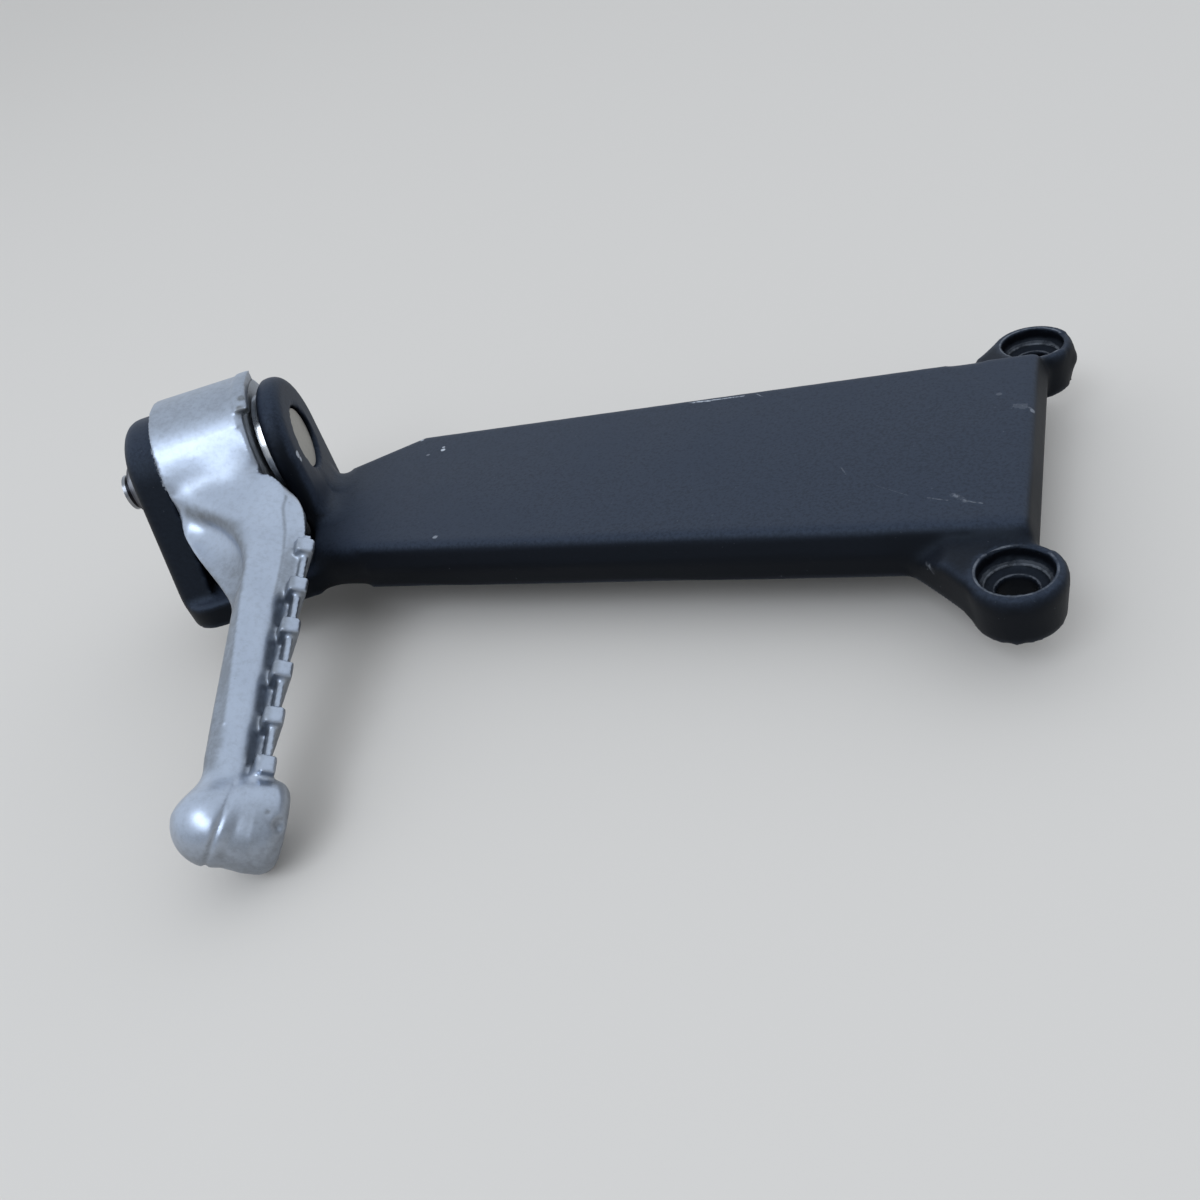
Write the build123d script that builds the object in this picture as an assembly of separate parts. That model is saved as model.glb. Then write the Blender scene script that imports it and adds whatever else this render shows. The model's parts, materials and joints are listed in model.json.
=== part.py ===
# Folding passenger footpeg on its cast mounting arm, in millimetres.
# Origin: middle of the two bolt holes, on the face that bolts to the frame.
# +Z points outwards from the bike, Y runs through both bolt holes, and the arm reaches towards -X.
# Along the pin, u counts from the outer face of the upper ear; the peg folds about the pin.
import os
from math import acos, atan2, cos, pi, radians, sin, sqrt, tan

from build123d import *

# Mounting lugs
lug_spacing = 96.0            # between the two bolt centres
lug_wall = 2.5                # round the counterbore
lug_height = 12.5             # mounting face to the mouth of the counterbore
lug_edge_radius = 2.2
lug_draft = 5.5               # degrees, from the parting line down to the mounting face
bolt_hole_radius = 4.25       # M8 clearance
counterbore_radius = 8.0      # M8 socket head
lug_radius = counterbore_radius + lug_wall
counterbore_depth = 4.0
seat_ring_radius = 6.6        # the recess round the bolt hole, below the seat
seat_ring_depth = 1.2
upper_tongue_reach = 16.8     # how far each lug's web reaches along the arm
lower_tongue_reach = 24.0
tongue_touch = 28.0           # degrees round the lug, where the web's flank meets it
tongue_inset = 0.25           # the flank ends this far inside the lug's round
tongue_overlap = 5.0
web_edge_radius = 1.6         # along the web's flank
tongue_ramp_start = -14.5     # from here the web's top falls away towards its tip
tongue_ramp = 31.0            # degrees
flank_sag = 0.4               # how hollow the web's flank is
stub_radius = 3.4             # the casting's gate stub, on the upper lug's outer side
stub_reach = 11.6             # how far it stands from the bolt's axis
stub_height = 6.6             # of its centre, above the mounting face

# Arm: a tray with a flat outer face, open at the back
face_height = 15.5            # outer face above the mounting face
face_right = 1.8
face_bottom = -36.6
face_top_right = 37.0         # y of the face's upper edge at its right end
face_top_left = 20.0          # y of the same edge at the chamfered corner
face_left = -173.8            # x of that corner
arm_into_ear = 4.0            # how far the arm's end reaches into the upper ear
arm_end_top = -7.0            # the arm's end along the ear, from the pin towards the peg
arm_end_bottom = 31.0
parting_height = 9.0
arm_back = 2.6                # the tray's rim stands this far off the mounting face
upper_draft = 20.0            # degrees, from the parting line up to the face
lower_draft = 5.0
inner_draft = 4.0
face_edge_radius = 2.6
wall = 4.0
floor_thickness = 4.0
rib_thickness = 3.0
rib_setback = 2.5             # the ribs stop this far short of the rim
rib_count = 3

# Pivot axis of the peg
pin_x = -192.6
pin_y = -5.0
pin_z = 33.0
pin_angle = 27.0              # degrees, the pin is turned this far from X towards Y

# Clevis
ear_radius = 18.0
upper_ear_thickness = 6.6
lower_ear_thickness = 9.6
clevis_gap = 27.6             # between the two ears
base_front = 34.4             # reach of the clevis base towards the peg
upper_ear_front = 21.0        # reach of the upper ear's foot
base_back = 15.0
base_top = 10.2               # floor between the ears, above the mounting face
ear_edge_radius = 3.0
ear_inner_chamfer = 1.8
lower_ear_edge_radius = 3.8
base_corner_radius = 9.0
boss_radius = 9.5             # flat seat of the washer, raised off the lower ear
boss_height = 2.2
head_recess_radius = 9.0
head_recess_depth = 4.0

# Pivot pin and what holds it in
pin_radius = 5.0
pin_clearance = 0.06
head_radius = 8.4
head_thickness = 2.8
pin_tail = 5.0                # past the washer's seat
clip_groove_depth = 0.9
clip_groove_play = 0.1
washer_radius = 8.4
washer_thickness = 1.2
loose_fit = 0.2
clip_radius = 7.2
clip_thickness = 1.0
clip_mouth = 5.0

# Detent plate, ball and spring
plate_radius = 14.8
plate_thickness = 1.8
plate_gap = 0.8               # plate to hub
plate_foot_half_width = 9.0
plate_seat = 0.2              # the plate's foot stands this far off the clevis floor
ball_radius = 3.0
ball_gap = 0.1
ball_angle = 200.0            # degrees round the pin from the bar's direction
pocket_depth = 13.0
pocket_play = 0.15
spring_wire = 0.7
spring_turns = 4
spring_gap = 0.1

# Peg
hub_radius = 21.0
ball_inset = 9.0              # the detent ball's pocket is this far inside the hub's round
ball_circle = hub_radius - ball_inset
hub_end_gap = 0.4             # hub to the lower ear
hub_chamfer = 1.2
hub_clearance = 1.0           # hub to the clevis floor
lip_height = 2.2              # a stop lip on the hub's upper end, which passes outside the ear
lip_inner = 18.7
lip_outer = 21.6
lip_centre = 95.0             # degrees round the pin from the bar's direction
lip_span = 50.0
fold_angle = 15.0             # degrees, the folded peg dips this far below the arm's face
bar_lean = 10.45              # degrees, the bar leans towards the lower ear
bar_roll = 36.0               # degrees, the tread is rolled about the bar
bar_root = 59.5               # along the bar, from the pin
tread_root = 41.5             # where the tread strip starts
bar_tip = 116.0
tread_outer = 5.6             # outer face of the tread strip, from the bar's line
tread_strip_thickness = 1.7
tread_half_width = 7.6
strip_neck_half_width = 2.6
ridge_half_width = 5.6
ridge_inner = 0.2
ridge_root = -8.2             # far edge of the ridge, at the bar's root and at its tip
ridge_tip = -4.0
keel_half_width = 2.4
keel_root = -8.9
keel_tip = -7.5
rung_count = 6
rung_first = 45.9
rung_pitch = 12.5
rung_length = 4.4
rung_half_width = 9.4
rung_inner = 2.1
rung_outer = 6.7
rung_edge_radius = 0.8
knob_place = 118.8            # centre of the knob, along the bar
knob_radius = 10.2            # its barrel
knob_flat = 11.0              # flat end of the barrel, on the tread's side
knob_edge_radius = 3.8
dome_radius = 9.9
dome_start = -1.9             # where the dome rises from its short neck
barrel_start = 2.6            # the barrel is chamfered down to the seam
seam = 0.6
seam_depth = 0.9
neck_end = 60.0               # where the neck has become the bar
neck_start = 20.0             # where the neck leaves the hub
neck_inset = 0.2              # it is this much narrower than the hub, on each side
neck_rim = 9.4                # its half thickness there
neck_edge = 5.0               # and at its edges
neck_corner = 1.2
neck_middle = [               # outlines across the neck: distance from the pin, then u and height round it
    (30.0, [(-3.9, 7.8), (-21.3, 9.3), (-24.0, 5.2), (-32.4, 3.6), (-32.2, -4.0), (-21.0, -8.5), (-7.0, -8.5),
            (-2.5, -3.0), (-1.0, 3.8)]),
    (41.0, [(-5.5, 5.9), (-14.8, 9.1), (-17.5, 5.6), (-27.6, 3.3), (-27.0, -2.5), (-19.5, -6.5), (-10.0, -7.0),
            (-4.0, -3.5), (-0.2, 3.2)]),
    (51.0, [(-7.0, 5.1), (-13.7, 9.1), (-16.0, 5.8), (-22.8, 2.8), (-22.4, -1.8), (-17.5, -5.0), (-11.2, -5.8),
            (-5.0, -3.6), (-2.6, 2.6)]),
]

pin_frame = Location((pin_x, pin_y, pin_z), (0, 0, pin_angle))
peg_frame = pin_frame * Location((0, 0, 0), (fold_angle, 0, 0))
half_spacing = lug_spacing / 2
gap_left = -upper_ear_thickness - clevis_gap
ear_left = gap_left - lower_ear_thickness
seat_left = ear_left - boss_height
hub_left = gap_left + hub_end_gap
hub_right = -upper_ear_thickness - plate_thickness - plate_gap
base_low = arm_back - pin_z
base_high = base_top - pin_z


def along_pin(radius, start, end, y=0.0, z=0.0):
    """A cylinder whose axis runs along the pin, between two places on it."""
    plane = Plane(origin=(start, y, z), x_dir=(0, 1, 0), z_dir=(1, 0, 0))
    return extrude(plane * Circle(radius), end - start)


def clevis_point(u, reach):
    """A place beside the pin, as x and y of the arm: u along the pin, reach towards the folded peg."""
    angle = radians(pin_angle)
    return (pin_x + u * cos(angle) + reach * sin(angle), pin_y + u * sin(angle) - reach * cos(angle))


def face_outline():
    """The flat outer face of the arm, seen from outside."""
    corners = [
        (face_right, face_bottom),
        (face_right, face_top_right),
        (face_left, face_top_left),
        clevis_point(-arm_into_ear, arm_end_top),
        clevis_point(-arm_into_ear, arm_end_bottom),
    ]
    return make_face(Polyline(*corners, close=True).edges())


def arm_shell():
    """The drafted body of the arm, from its rim up to the flat face."""
    grow = (face_height - parting_height) * tan(radians(upper_draft))
    parting = Plane.XY.offset(parting_height) * offset(face_outline(), grow, kind=Kind.INTERSECTION)
    upper = extrude(parting, face_height - parting_height, taper=upper_draft)
    lower = extrude(parting, arm_back - parting_height, taper=lower_draft)
    body = upper + lower
    rim = body.edges().filter_by_position(Axis.Z, face_height - 0.01, face_height + 0.01)
    return fillet(rim, face_edge_radius)


def tray():
    """The hollow behind the face, with its cross ribs left standing."""
    mouth = Plane.XY.offset(arm_back) * offset(face_outline(), -wall, kind=Kind.INTERSECTION)
    depth = face_height - floor_thickness - arm_back
    hollow = extrude(mouth, depth, taper=inner_draft)
    pitch = (face_right - face_left) / (rib_count + 1)
    rib = Box(rib_thickness, 2 * lug_spacing, depth, align=(Align.CENTER, Align.CENTER, Align.MIN))
    for i in range(rib_count):
        hollow -= Pos(face_left + (i + 1) * pitch, 0, arm_back + rib_setback) * rib
    return hollow


def lug(side, root, reach):
    """One bolt lug, drafted both ways from its parting line, and the web that ties it to the arm's edge."""
    centre = side * half_spacing
    foot_radius = lug_radius - parting_height * tan(radians(lug_draft))
    bend = lug_edge_radius * (1 - cos(pi / 4))
    side_line = Polyline((0, lug_height), (0, 0), (foot_radius, 0), (lug_radius, parting_height),
                         (lug_radius, lug_height - lug_edge_radius))
    edge = ThreePointArc((lug_radius, lug_height - lug_edge_radius), (lug_radius - bend, lug_height - bend),
                         (lug_radius - lug_edge_radius, lug_height))
    top = Line((lug_radius - lug_edge_radius, lug_height), (0, lug_height))
    boss = revolve(Plane.XZ * make_face([*side_line.edges(), *edge.edges(), *top.edges()]), Axis.Z)
    turn, reached = radians(tongue_touch), lug_radius - tongue_inset
    start = Vector(-reach, root + side)
    touch = Vector(-reached * cos(turn), centre + side * reached * sin(turn))
    run = (touch - start).normalized()
    knee = (start + touch) / 2 + Vector(run.Y, -run.X) * side * flank_sag
    flank = ThreePointArc(start, knee, touch)
    inner = root - side * tongue_overlap
    back = Polyline(touch, (0, centre), (0, inner), (-reach, inner), start)
    web = Plane.XY.offset(arm_back) * make_face([*flank.edges(), *back.edges()])
    web = extrude(web, lug_height - arm_back)
    rim = [e for e in web.edges().filter_by_position(Axis.Z, lug_height - 0.01, lug_height + 0.01)
           if e.geom_type == GeomType.CIRCLE]
    web = fillet(rim, web_edge_radius)
    drop = lug_height / tan(radians(tongue_ramp))
    ramp = Polyline((tongue_ramp_start, lug_height), (tongue_ramp_start - drop, 0),
                    (tongue_ramp_start - drop, lug_height), close=True)
    web -= extrude(Plane.XZ * make_face(ramp.edges()), lug_spacing, both=True)
    return Pos(0, centre, 0) * boss + web


def ear(start, thickness, foot):
    """One clevis ear: a round head about the pin, with flanks down to the base."""
    away, dip = sqrt(foot ** 2 + base_low ** 2), atan2(base_low, foot)
    touch = dip + acos(ear_radius / away)
    front = (-ear_radius * cos(touch), ear_radius * sin(touch))
    rear = (ear_radius, 0)
    head = ThreePointArc(front, (0, ear_radius), rear)
    sides = Polyline(rear, (base_back, base_low), (-foot, base_low), front)
    plane = Plane(origin=(start, 0, 0), x_dir=(0, 1, 0), z_dir=(1, 0, 0))
    return extrude(plane * make_face([*head.edges(), *sides.edges()]), thickness)


def upper_ear():
    body = ear(-upper_ear_thickness, upper_ear_thickness, upper_ear_front)
    body = fillet(body.edges().group_by(Axis.X)[-1].filter_by(GeomType.CIRCLE), ear_edge_radius)
    return chamfer(body.edges().group_by(Axis.X)[0].filter_by(GeomType.CIRCLE), ear_inner_chamfer)


def lower_ear():
    body = ear(ear_left, lower_ear_thickness, base_front)
    outer = body.edges().group_by(Axis.X)[0].sort_by(Axis.Z)
    head = outer.filter_by(GeomType.CIRCLE)
    flank = [e for e in outer if e.geom_type == GeomType.LINE and e.center().Y < 0 and e.center().Z > base_low + 1]
    return fillet([*head, *flank], lower_ear_edge_radius)


def clevis():
    """Two ears on a common base, in the pin's own frame, with one round corner in plan."""
    width, length = -ear_left, base_front + base_back
    base = Box(width, length, base_top - arm_back, align=(Align.MIN, Align.MIN, Align.MIN))
    body = Pos(-width, -base_front, base_low) * base + upper_ear() + lower_ear()
    plan = Rectangle(width, length, align=(Align.MIN, Align.MIN))
    corner = plan.vertices().group_by(Axis.X)[0].sort_by(Axis.Y)[0]
    plan = Pos(-width, -base_front) * fillet(corner, base_corner_radius)
    beyond = Pos(0, ear_radius) * Rectangle(width, 2 * ear_radius, align=(Align.MAX, Align.CENTER))
    return body & extrude(Plane.XY.offset(base_low) * (plan + beyond), 2 * hub_radius - base_low)


def bolt_holes():
    """Both M8 holes with their counterbores and the ring recessed round each hole."""
    seat = lug_height - counterbore_depth
    hole = extrude(Circle(bolt_hole_radius), lug_height)
    hole += extrude(Plane.XY.offset(seat) * Circle(counterbore_radius), counterbore_depth)
    hole += extrude(Plane.XY.offset(seat - seat_ring_depth) * Circle(seat_ring_radius), seat_ring_depth)
    return Pos(0, -half_spacing, 0) * hole + Pos(0, half_spacing, 0) * hole


def bracket_arm():
    lugs = lug(-1, face_bottom, lower_tongue_reach) + lug(1, face_top_right, upper_tongue_reach)
    stub = Pos(stub_reach - stub_radius, half_spacing, stub_height) * Sphere(stub_radius)
    body = arm_shell() + lugs + stub + pin_frame * (clevis() + along_pin(boss_radius, seat_left, gap_left))
    bore = along_pin(pin_radius + pin_clearance, seat_left, 0)
    bore += along_pin(head_recess_radius, -head_recess_depth, 0)
    bore += along_pin(hub_radius + hub_clearance, gap_left, -upper_ear_thickness)
    return body - tray() - bolt_holes() - pin_frame * bore


def pivot_pin():
    tip = seat_left - pin_tail
    groove = seat_left - washer_thickness
    pin = along_pin(pin_radius, tip, -head_recess_depth)
    pin += along_pin(head_radius, -head_recess_depth, head_thickness - head_recess_depth)
    cut = along_pin(pin_radius, groove - clip_thickness - clip_groove_play, groove)
    core = along_pin(pin_radius - clip_groove_depth, tip, groove)
    return pin_frame * (pin - (cut - core))


def clip_washer():
    start = seat_left - washer_thickness
    ring = along_pin(washer_radius, start, seat_left) - along_pin(pin_radius + loose_fit, start, seat_left)
    return pin_frame * ring


def retaining_clip():
    """An E-clip seated in the pin's groove, its mouth turned down."""
    end = seat_left - washer_thickness
    start = end - clip_thickness
    ring = along_pin(clip_radius, start, end) - along_pin(pin_radius - clip_groove_depth, start, end)
    mouth = Box(clip_thickness, clip_mouth, clip_radius, align=(Align.MIN, Align.CENTER, Align.MAX))
    return pin_frame * (ring - Pos(start, 0, 0) * mouth)


def detent_plate():
    """A round plate on the pin, whose straight foot on the clevis floor stops it turning."""
    start = -upper_ear_thickness - plate_thickness
    plate = along_pin(plate_radius, start, -upper_ear_thickness)
    foot = Box(plate_thickness, 2 * plate_foot_half_width, -base_high - plate_seat,
               align=(Align.MIN, Align.CENTER, Align.MAX))
    plate += Pos(start, 0, 0) * foot
    return pin_frame * (plate - along_pin(pin_radius + loose_fit, start, -upper_ear_thickness))


def ball_place():
    """Where the detent ball's centre sits in the peg's own frame."""
    angle = radians(ball_angle)
    plate_face = -upper_ear_thickness - plate_thickness
    return (plate_face - ball_gap - ball_radius, -ball_circle * cos(angle), ball_circle * sin(angle))


def ball_pocket():
    _, y, z = ball_place()
    return along_pin(ball_radius + pocket_play, hub_right - pocket_depth, hub_right, y, z)


def detent_ball():
    return peg_frame * (Pos(*ball_place()) * Sphere(ball_radius))


def detent_spring():
    """A coil spring between the pocket's floor and the ball."""
    x, y, z = ball_place()
    radius = ball_radius - spring_wire
    start = hub_right - pocket_depth + spring_gap + spring_wire / 2
    end = x - sqrt(ball_radius ** 2 - radius ** 2) - spring_gap - spring_wire
    length = end - start
    path = Helix(length / spring_turns, length, radius)
    section = Plane(origin=path @ 0, z_dir=path % 0) * Rectangle(spring_wire, spring_wire)
    coil = sweep(section, path)
    return peg_frame * (Location((start, y, z), (0, 90, 0)) * coil)


def bar_plane(distance):
    """The bar's section plane at a distance from the pin: x across the tread, y along a rung."""
    lean, roll = radians(bar_lean), radians(bar_roll)
    along = Vector(-sin(lean), -cos(lean), 0)
    across = Vector(cos(lean), -sin(lean), 0)
    tread = across * cos(roll) - Vector(0, 0, 1) * sin(roll)
    return Plane(origin=Vector(0, 0, 0) + along * distance, x_dir=tread, z_dir=along)


def bar_section(ridge_outer, keel_outer):
    """The bar's core in section: keel, ridge and the web of the tread, the same on both sides."""
    half = [
        (tread_outer - tread_strip_thickness, strip_neck_half_width),
        (rung_inner, strip_neck_half_width),
        (ridge_inner, ridge_half_width),
        (ridge_outer, ridge_half_width - 0.4),
        (keel_outer, keel_half_width),
    ]
    return make_face(Polyline(*half, *[(t, -s) for t, s in reversed(half)], close=True).edges())


def bar():
    """The bar: a core that narrows to its tip, the tread strip and the rungs across it."""
    root, tip = bar_plane(bar_root), bar_plane(bar_tip)
    core = loft([root * bar_section(ridge_root, keel_root), tip * bar_section(ridge_tip, keel_tip)], ruled=True)
    strip = Rectangle(tread_strip_thickness, 2 * tread_half_width, align=(Align.MAX, Align.CENTER))
    web = Rectangle(tread_outer, 2 * strip_neck_half_width, align=(Align.MIN, Align.CENTER))
    tread = Pos(tread_outer, 0) * strip + web
    body = core + extrude(bar_plane(tread_root) * tread, bar_tip - tread_root)
    rung = Rectangle(rung_outer - rung_inner, 2 * rung_half_width, align=(Align.MIN, Align.CENTER))
    for i in range(rung_count):
        place = bar_plane(rung_first + i * rung_pitch - rung_length / 2)
        bump = extrude(place * (Pos(rung_inner, 0) * rung), rung_length)
        body += fillet(bump.edges().filter_by(Axis(place.origin, place.z_dir)), rung_edge_radius)
    return body


def knob():
    """The knob at the bar's end: a barrel across the tread, a seam, and a domed end."""
    edge_centre = (knob_radius - knob_edge_radius, knob_flat - knob_edge_radius)
    bend = knob_edge_radius * cos(pi / 4)
    flat = Polyline((0, knob_flat), (edge_centre[0], knob_flat))
    edge = ThreePointArc((edge_centre[0], knob_flat), (edge_centre[0] + bend, edge_centre[1] + bend),
                         (knob_radius, edge_centre[1]))
    side = Polyline((knob_radius, edge_centre[1]), (knob_radius, barrel_start), (knob_radius - seam_depth, seam),
                    (dome_radius, seam - seam_depth), (dome_radius, dome_start))
    slope = dome_radius * cos(pi / 4)
    dome = ThreePointArc((dome_radius, dome_start), (slope, dome_start - slope), (0, dome_start - dome_radius))
    axis = Polyline((0, dome_start - dome_radius), (0, knob_flat))
    profile = make_face([*flat.edges(), *edge.edges(), *side.edges(), *dome.edges(), *axis.edges()])
    turned = revolve(Plane.XZ * profile, Axis.Z)
    place = bar_plane(knob_place)
    return Plane(origin=place.origin, x_dir=place.z_dir, z_dir=place.x_dir).location * turned


def on_bar(distance, tread, side):
    """A place in the bar's section, as u and height in a plane across the neck."""
    lean, roll = radians(bar_lean), radians(bar_roll)
    across = tread * cos(roll) + side * sin(roll)
    return (across / cos(lean) - distance * tan(lean), side * cos(roll) - tread * sin(roll))


def neck():
    """The web that runs from the hub's full width, hollowed on one side, into the rolled bar."""
    low, high = hub_left + neck_inset, hub_right - neck_inset
    leaving = [(high, neck_rim), (low + 1, neck_rim), (low + 0.3, neck_rim - neck_corner), (low, neck_edge), (low, -neck_edge),
               (low + 1, -neck_rim), (high, -neck_rim), (high + 0.2, -neck_edge), (high + 0.2, neck_edge)]
    side, keel = ridge_half_width - 0.5, 0.85 * keel_root
    ending = [(ridge_inner, ridge_half_width), (keel, side), (keel - 1, side - neck_corner), (keel_root, 1.6),
              (keel_root, -keel_half_width), (keel, -side), (ridge_inner, -ridge_half_width),
              (rung_inner, -strip_neck_half_width), (rung_inner, strip_neck_half_width)]
    ending = [on_bar(neck_end, tread, along) for tread, along in ending]
    stations = [(neck_start, leaving), *neck_middle, (neck_end, ending)]
    sections = []
    for distance, outline in stations:
        across = Plane(origin=(0, -distance, 0), x_dir=(1, 0, 0), z_dir=(0, -1, 0))
        sections.append(across * make_face(Polyline(*outline, close=True).edges()))
    return loft(sections) + extrude(sections[0], -neck_start)


def hub_lip():
    """The stop lip: a short arc standing off the hub's upper end."""
    ring = along_pin(lip_outer, hub_right - hub_chamfer, hub_right + lip_height)
    ring -= along_pin(lip_inner, hub_right - hub_chamfer, hub_right + lip_height)
    spread = 2 * hub_radius * tan(radians(lip_span / 2))
    wedge = Polyline((0, 0), (-spread, 2 * hub_radius), (spread, 2 * hub_radius), close=True)
    plane = Plane(origin=(hub_right - hub_chamfer, 0, 0), x_dir=(0, 1, 0), z_dir=(1, 0, 0))
    sector = extrude(plane * make_face(wedge.edges()), lip_height + hub_chamfer)
    return ring & Rot(90 - lip_centre, 0, 0) * sector


def footpeg():
    hub = along_pin(hub_radius, hub_left, hub_right)
    hub = chamfer(hub.edges().group_by(Axis.X)[-1], hub_chamfer)
    body = hub + hub_lip() + neck() + bar() + knob()
    body -= along_pin(pin_radius + pin_clearance, hub_left, hub_right) + ball_pocket()
    return peg_frame * body


os.makedirs("parts", exist_ok=True)
pieces = {
    "bracket_arm": bracket_arm(),
    "footpeg": footpeg(),
    "pivot_pin": pivot_pin(),
    "clip_washer": clip_washer(),
    "retaining_clip": retaining_clip(),
    "detent_plate": detent_plate(),
    "detent_ball": detent_ball(),
    "detent_spring": detent_spring(),
}
for name, shape in pieces.items():
    export_step(shape, f"parts/{name}.step")
    print(name, len(shape.solids()), "solids", round(shape.volume), "mm3")
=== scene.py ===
import json
import math

import bmesh
import bpy
from mathutils import Matrix, Vector


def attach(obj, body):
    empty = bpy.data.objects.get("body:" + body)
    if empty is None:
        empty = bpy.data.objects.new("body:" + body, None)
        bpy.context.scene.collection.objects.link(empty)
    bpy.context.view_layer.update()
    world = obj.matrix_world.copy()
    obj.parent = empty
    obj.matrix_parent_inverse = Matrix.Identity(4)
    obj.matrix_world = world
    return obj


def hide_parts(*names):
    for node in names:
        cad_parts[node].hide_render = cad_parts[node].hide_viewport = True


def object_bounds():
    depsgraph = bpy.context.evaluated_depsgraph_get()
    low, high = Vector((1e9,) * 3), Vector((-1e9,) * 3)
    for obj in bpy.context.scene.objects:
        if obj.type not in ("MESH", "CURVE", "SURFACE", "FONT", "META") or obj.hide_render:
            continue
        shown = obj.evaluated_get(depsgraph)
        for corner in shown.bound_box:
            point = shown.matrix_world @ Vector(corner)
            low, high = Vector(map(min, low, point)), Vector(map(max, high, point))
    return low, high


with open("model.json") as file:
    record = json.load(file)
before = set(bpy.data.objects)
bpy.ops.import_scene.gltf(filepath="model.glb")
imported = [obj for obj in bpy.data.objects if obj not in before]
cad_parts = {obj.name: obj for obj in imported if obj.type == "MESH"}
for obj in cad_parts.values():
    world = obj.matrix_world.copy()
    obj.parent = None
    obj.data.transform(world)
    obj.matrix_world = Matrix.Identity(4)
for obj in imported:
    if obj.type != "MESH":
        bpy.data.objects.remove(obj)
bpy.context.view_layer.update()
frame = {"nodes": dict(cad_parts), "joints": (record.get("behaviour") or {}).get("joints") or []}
print("frame loaded:", len(frame["nodes"]), "nodes")

scene = bpy.context.scene
scene.view_settings.view_transform = "Standard"

mm = 0.001  # every size below is in millimetres and is turned into metres with this
farOff = 999  # past everything, in millimetres


# places in millimetres, as vectors in metres
def metres(*places):
    return [Vector(place) * mm for place in places]


# Where things are, in the part's own frame

pinJoint = frame["joints"][0]
pinAxis = -Vector(pinJoint["axis"])  # from the clip towards the pin's head
pinCentre = Vector((-192.6, -5.0, 33.0)) * mm  # on the pin, at the upper ear's outer face
foldAngle = math.radians(15)  # the folded peg dips this far
barLean = math.radians(10.45)
barRoll = math.radians(36)
boltPlaces = metres((0, -48, 0), (0, 48, 0))

pinSide = Vector((-pinAxis.y, pinAxis.x, 0))  # across the pin, away from the peg
pegDown = -(pinSide * math.cos(foldAngle) + Vector((0, 0, math.sin(foldAngle))))
pegUp = Vector((0, 0, math.cos(foldAngle))) - pinSide * math.sin(foldAngle)
barAlong = -pinAxis * math.sin(barLean) + pegDown * math.cos(barLean)
barAcross = pinAxis * math.cos(barLean) + pegDown * math.sin(barLean)
treadOut = barAcross * math.cos(barRoll) - pegUp * math.sin(barRoll)
treadSide = barAlong.cross(treadOut)


# a point's distance along the bar, out towards its tread and to its side, in millimetres
def barPlace(point):
    offset = (point - pinCentre) / mm
    return offset.dot(barAlong), offset.dot(treadOut), offset.dot(treadSide)


# a point's place along the pin and its distance from the pin's axis, in millimetres
def pinPlace(point):
    offset = (point - pinCentre) / mm
    along = offset.dot(pinAxis)
    return along, (offset - pinAxis * along).length


# Meshes

def meshObject(name, mesh):
    piece = bpy.data.objects.new(name, mesh)
    scene.collection.objects.link(piece)
    return piece


# the piece's mesh becomes what its modifiers make of it
def bakeModifiers(piece):
    bpy.context.view_layer.update()
    depsgraph = bpy.context.evaluated_depsgraph_get()
    finished = bpy.data.meshes.new_from_object(piece.evaluated_get(depsgraph))
    piece.modifiers.clear()
    piece.data = finished


# a fine, even mesh in the shape of a CAD node, ready to be softened like a casting
def castCopy(name, node, voxel):
    bm = bmesh.new()
    bm.from_mesh(frame["nodes"][node].data)
    bmesh.ops.remove_doubles(bm, verts=bm.verts, dist=0.001 * mm)
    mesh = bpy.data.meshes.new(name)
    bm.to_mesh(mesh)
    bm.free()
    piece = meshObject(name, mesh)
    remesh = piece.modifiers.new("evenMesh", "REMESH")
    remesh.mode = "VOXEL"
    remesh.voxel_size = voxel * mm
    bakeModifiers(piece)
    return piece


# smooths the mesh, and more where a zone asks for more: (rounds, test of a vertex's place)
def soften(bm, zones):
    for rounds, test in zones:
        verts = [v for v in bm.verts if test is None or test(v.co)]
        for _ in range(rounds):
            bmesh.ops.smooth_vert(bm, verts=verts, factor=0.5, use_axis_x=True, use_axis_y=True,
                                  use_axis_z=True)


# The tests that follow tell soften where its zones are

def near(place, reach):
    place = Vector(place) * mm
    return lambda co: (co - place).length < reach * mm


# how far a place is from the nearest of a line's runs, in metres
def lineDistance(co, points):
    best = 1.0
    for start, end in zip(points, points[1:]):
        run = end - start
        part = min(max((co - start).dot(run) / run.length_squared, 0), 1)
        best = min(best, (co - start - run * part).length)
    return best


def alongLine(points, reach):
    return lambda co: lineDistance(co, points) < reach * mm


# near the hub's crease, and between two places along the pin
def byCrease(reach, low, high):
    onCrease = alongLine(pegFinish["hubCrease"], reach)
    return lambda co: onCrease(co) and low < pinPlace(co)[0] < high


# between two places along the bar and two outwards, and past one to its side
def onBar(along, out, side=-farOff):
    def test(co):
        place = barPlace(co)
        return along[0] < place[0] < along[1] and out[0] < place[1] < out[1] and side < place[2]
    return test


# makes a softened bore true again: vertices near its wall go back to its radius
def trueBore(bm, centre, axis, radius, depths, reach=0.6):
    for v in bm.verts:
        offset = v.co - centre
        depth = offset.dot(axis)
        away = offset - axis * depth
        if depths[0] * mm < depth < depths[1] * mm and abs(away.length - radius * mm) < reach * mm:
            v.co += away.normalized() * (radius * mm - away.length)


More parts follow.
